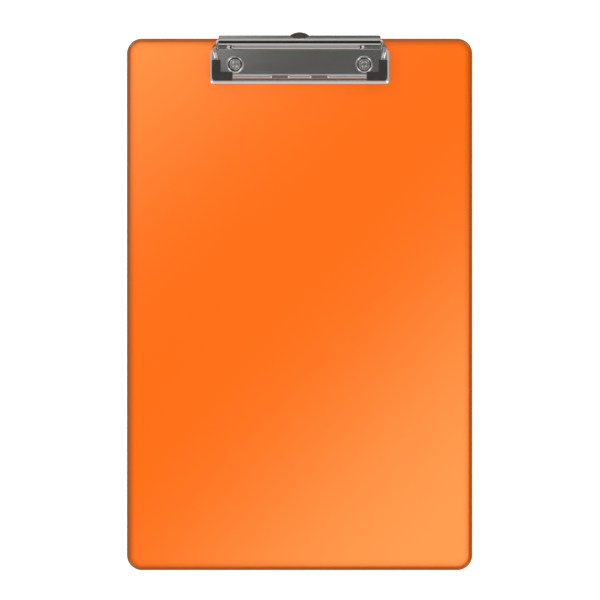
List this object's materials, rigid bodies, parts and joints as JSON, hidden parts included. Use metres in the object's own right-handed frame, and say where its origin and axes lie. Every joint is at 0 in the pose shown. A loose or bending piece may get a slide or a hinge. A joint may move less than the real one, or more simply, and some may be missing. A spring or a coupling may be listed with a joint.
{
  "type": "clipboard",
  "caption": "Flat moulded clipboard with a low-profile sprung wire clip, rubber-cornered wire jaw, finger lever and slide-out hanging hook.",
  "frame": {"origin": "centre of the whole object seen from above, on the flat surface that the board lies on", "axes": "+Z out of the writing face, +Y along the board towards the clip, +X to the right when the board is read with the clip at the top"},
  "size_m": [0.23, 0.358, 0.0123],
  "materials": {
    "orange_plastic": "moulded orange plastic, semi-gloss, with a rounded upper edge",
    "chromed_steel": "bright nickel-chrome plate on pressed sheet steel",
    "chromed_wire": "bright nickel-chrome plate on drawn spring wire",
    "zinc_steel": "zinc-plated steel washer",
    "black_rubber": "moulded black rubber, satin",
    "dark_plastic": "dark moulded plastic, satin"
  },
  "bodies": {
    "board": {"board": "orange_plastic", "base_plate": "chromed_steel", "rivet_left": "chromed_steel", "rivet_right": "chromed_steel", "rivet_washer_left": "zinc_steel", "rivet_washer_right": "zinc_steel"},
    "jaw": {"lever": "chromed_steel", "wire_jaw": "chromed_wire", "rubber_corner_left": "black_rubber", "rubber_corner_right": "black_rubber"},
    "hook": {"hanging_hook": "dark_plastic"}
  },
  "joints": [
    {"name": "jaw_hinge", "type": "hinge", "parent": "board", "child": "jaw", "pos_m": [0, 0.1694, 0.0097], "axis": [-1, 0, 0], "range_deg": [0, 45], "stiffness_Nm_per_rad": 0.25, "springref_deg": -68.75},
    {"name": "hook_slide", "type": "slide", "parent": "board", "child": "hook", "axis": [0, 1, 0], "range_m": [0, 0.015]}
  ]
}
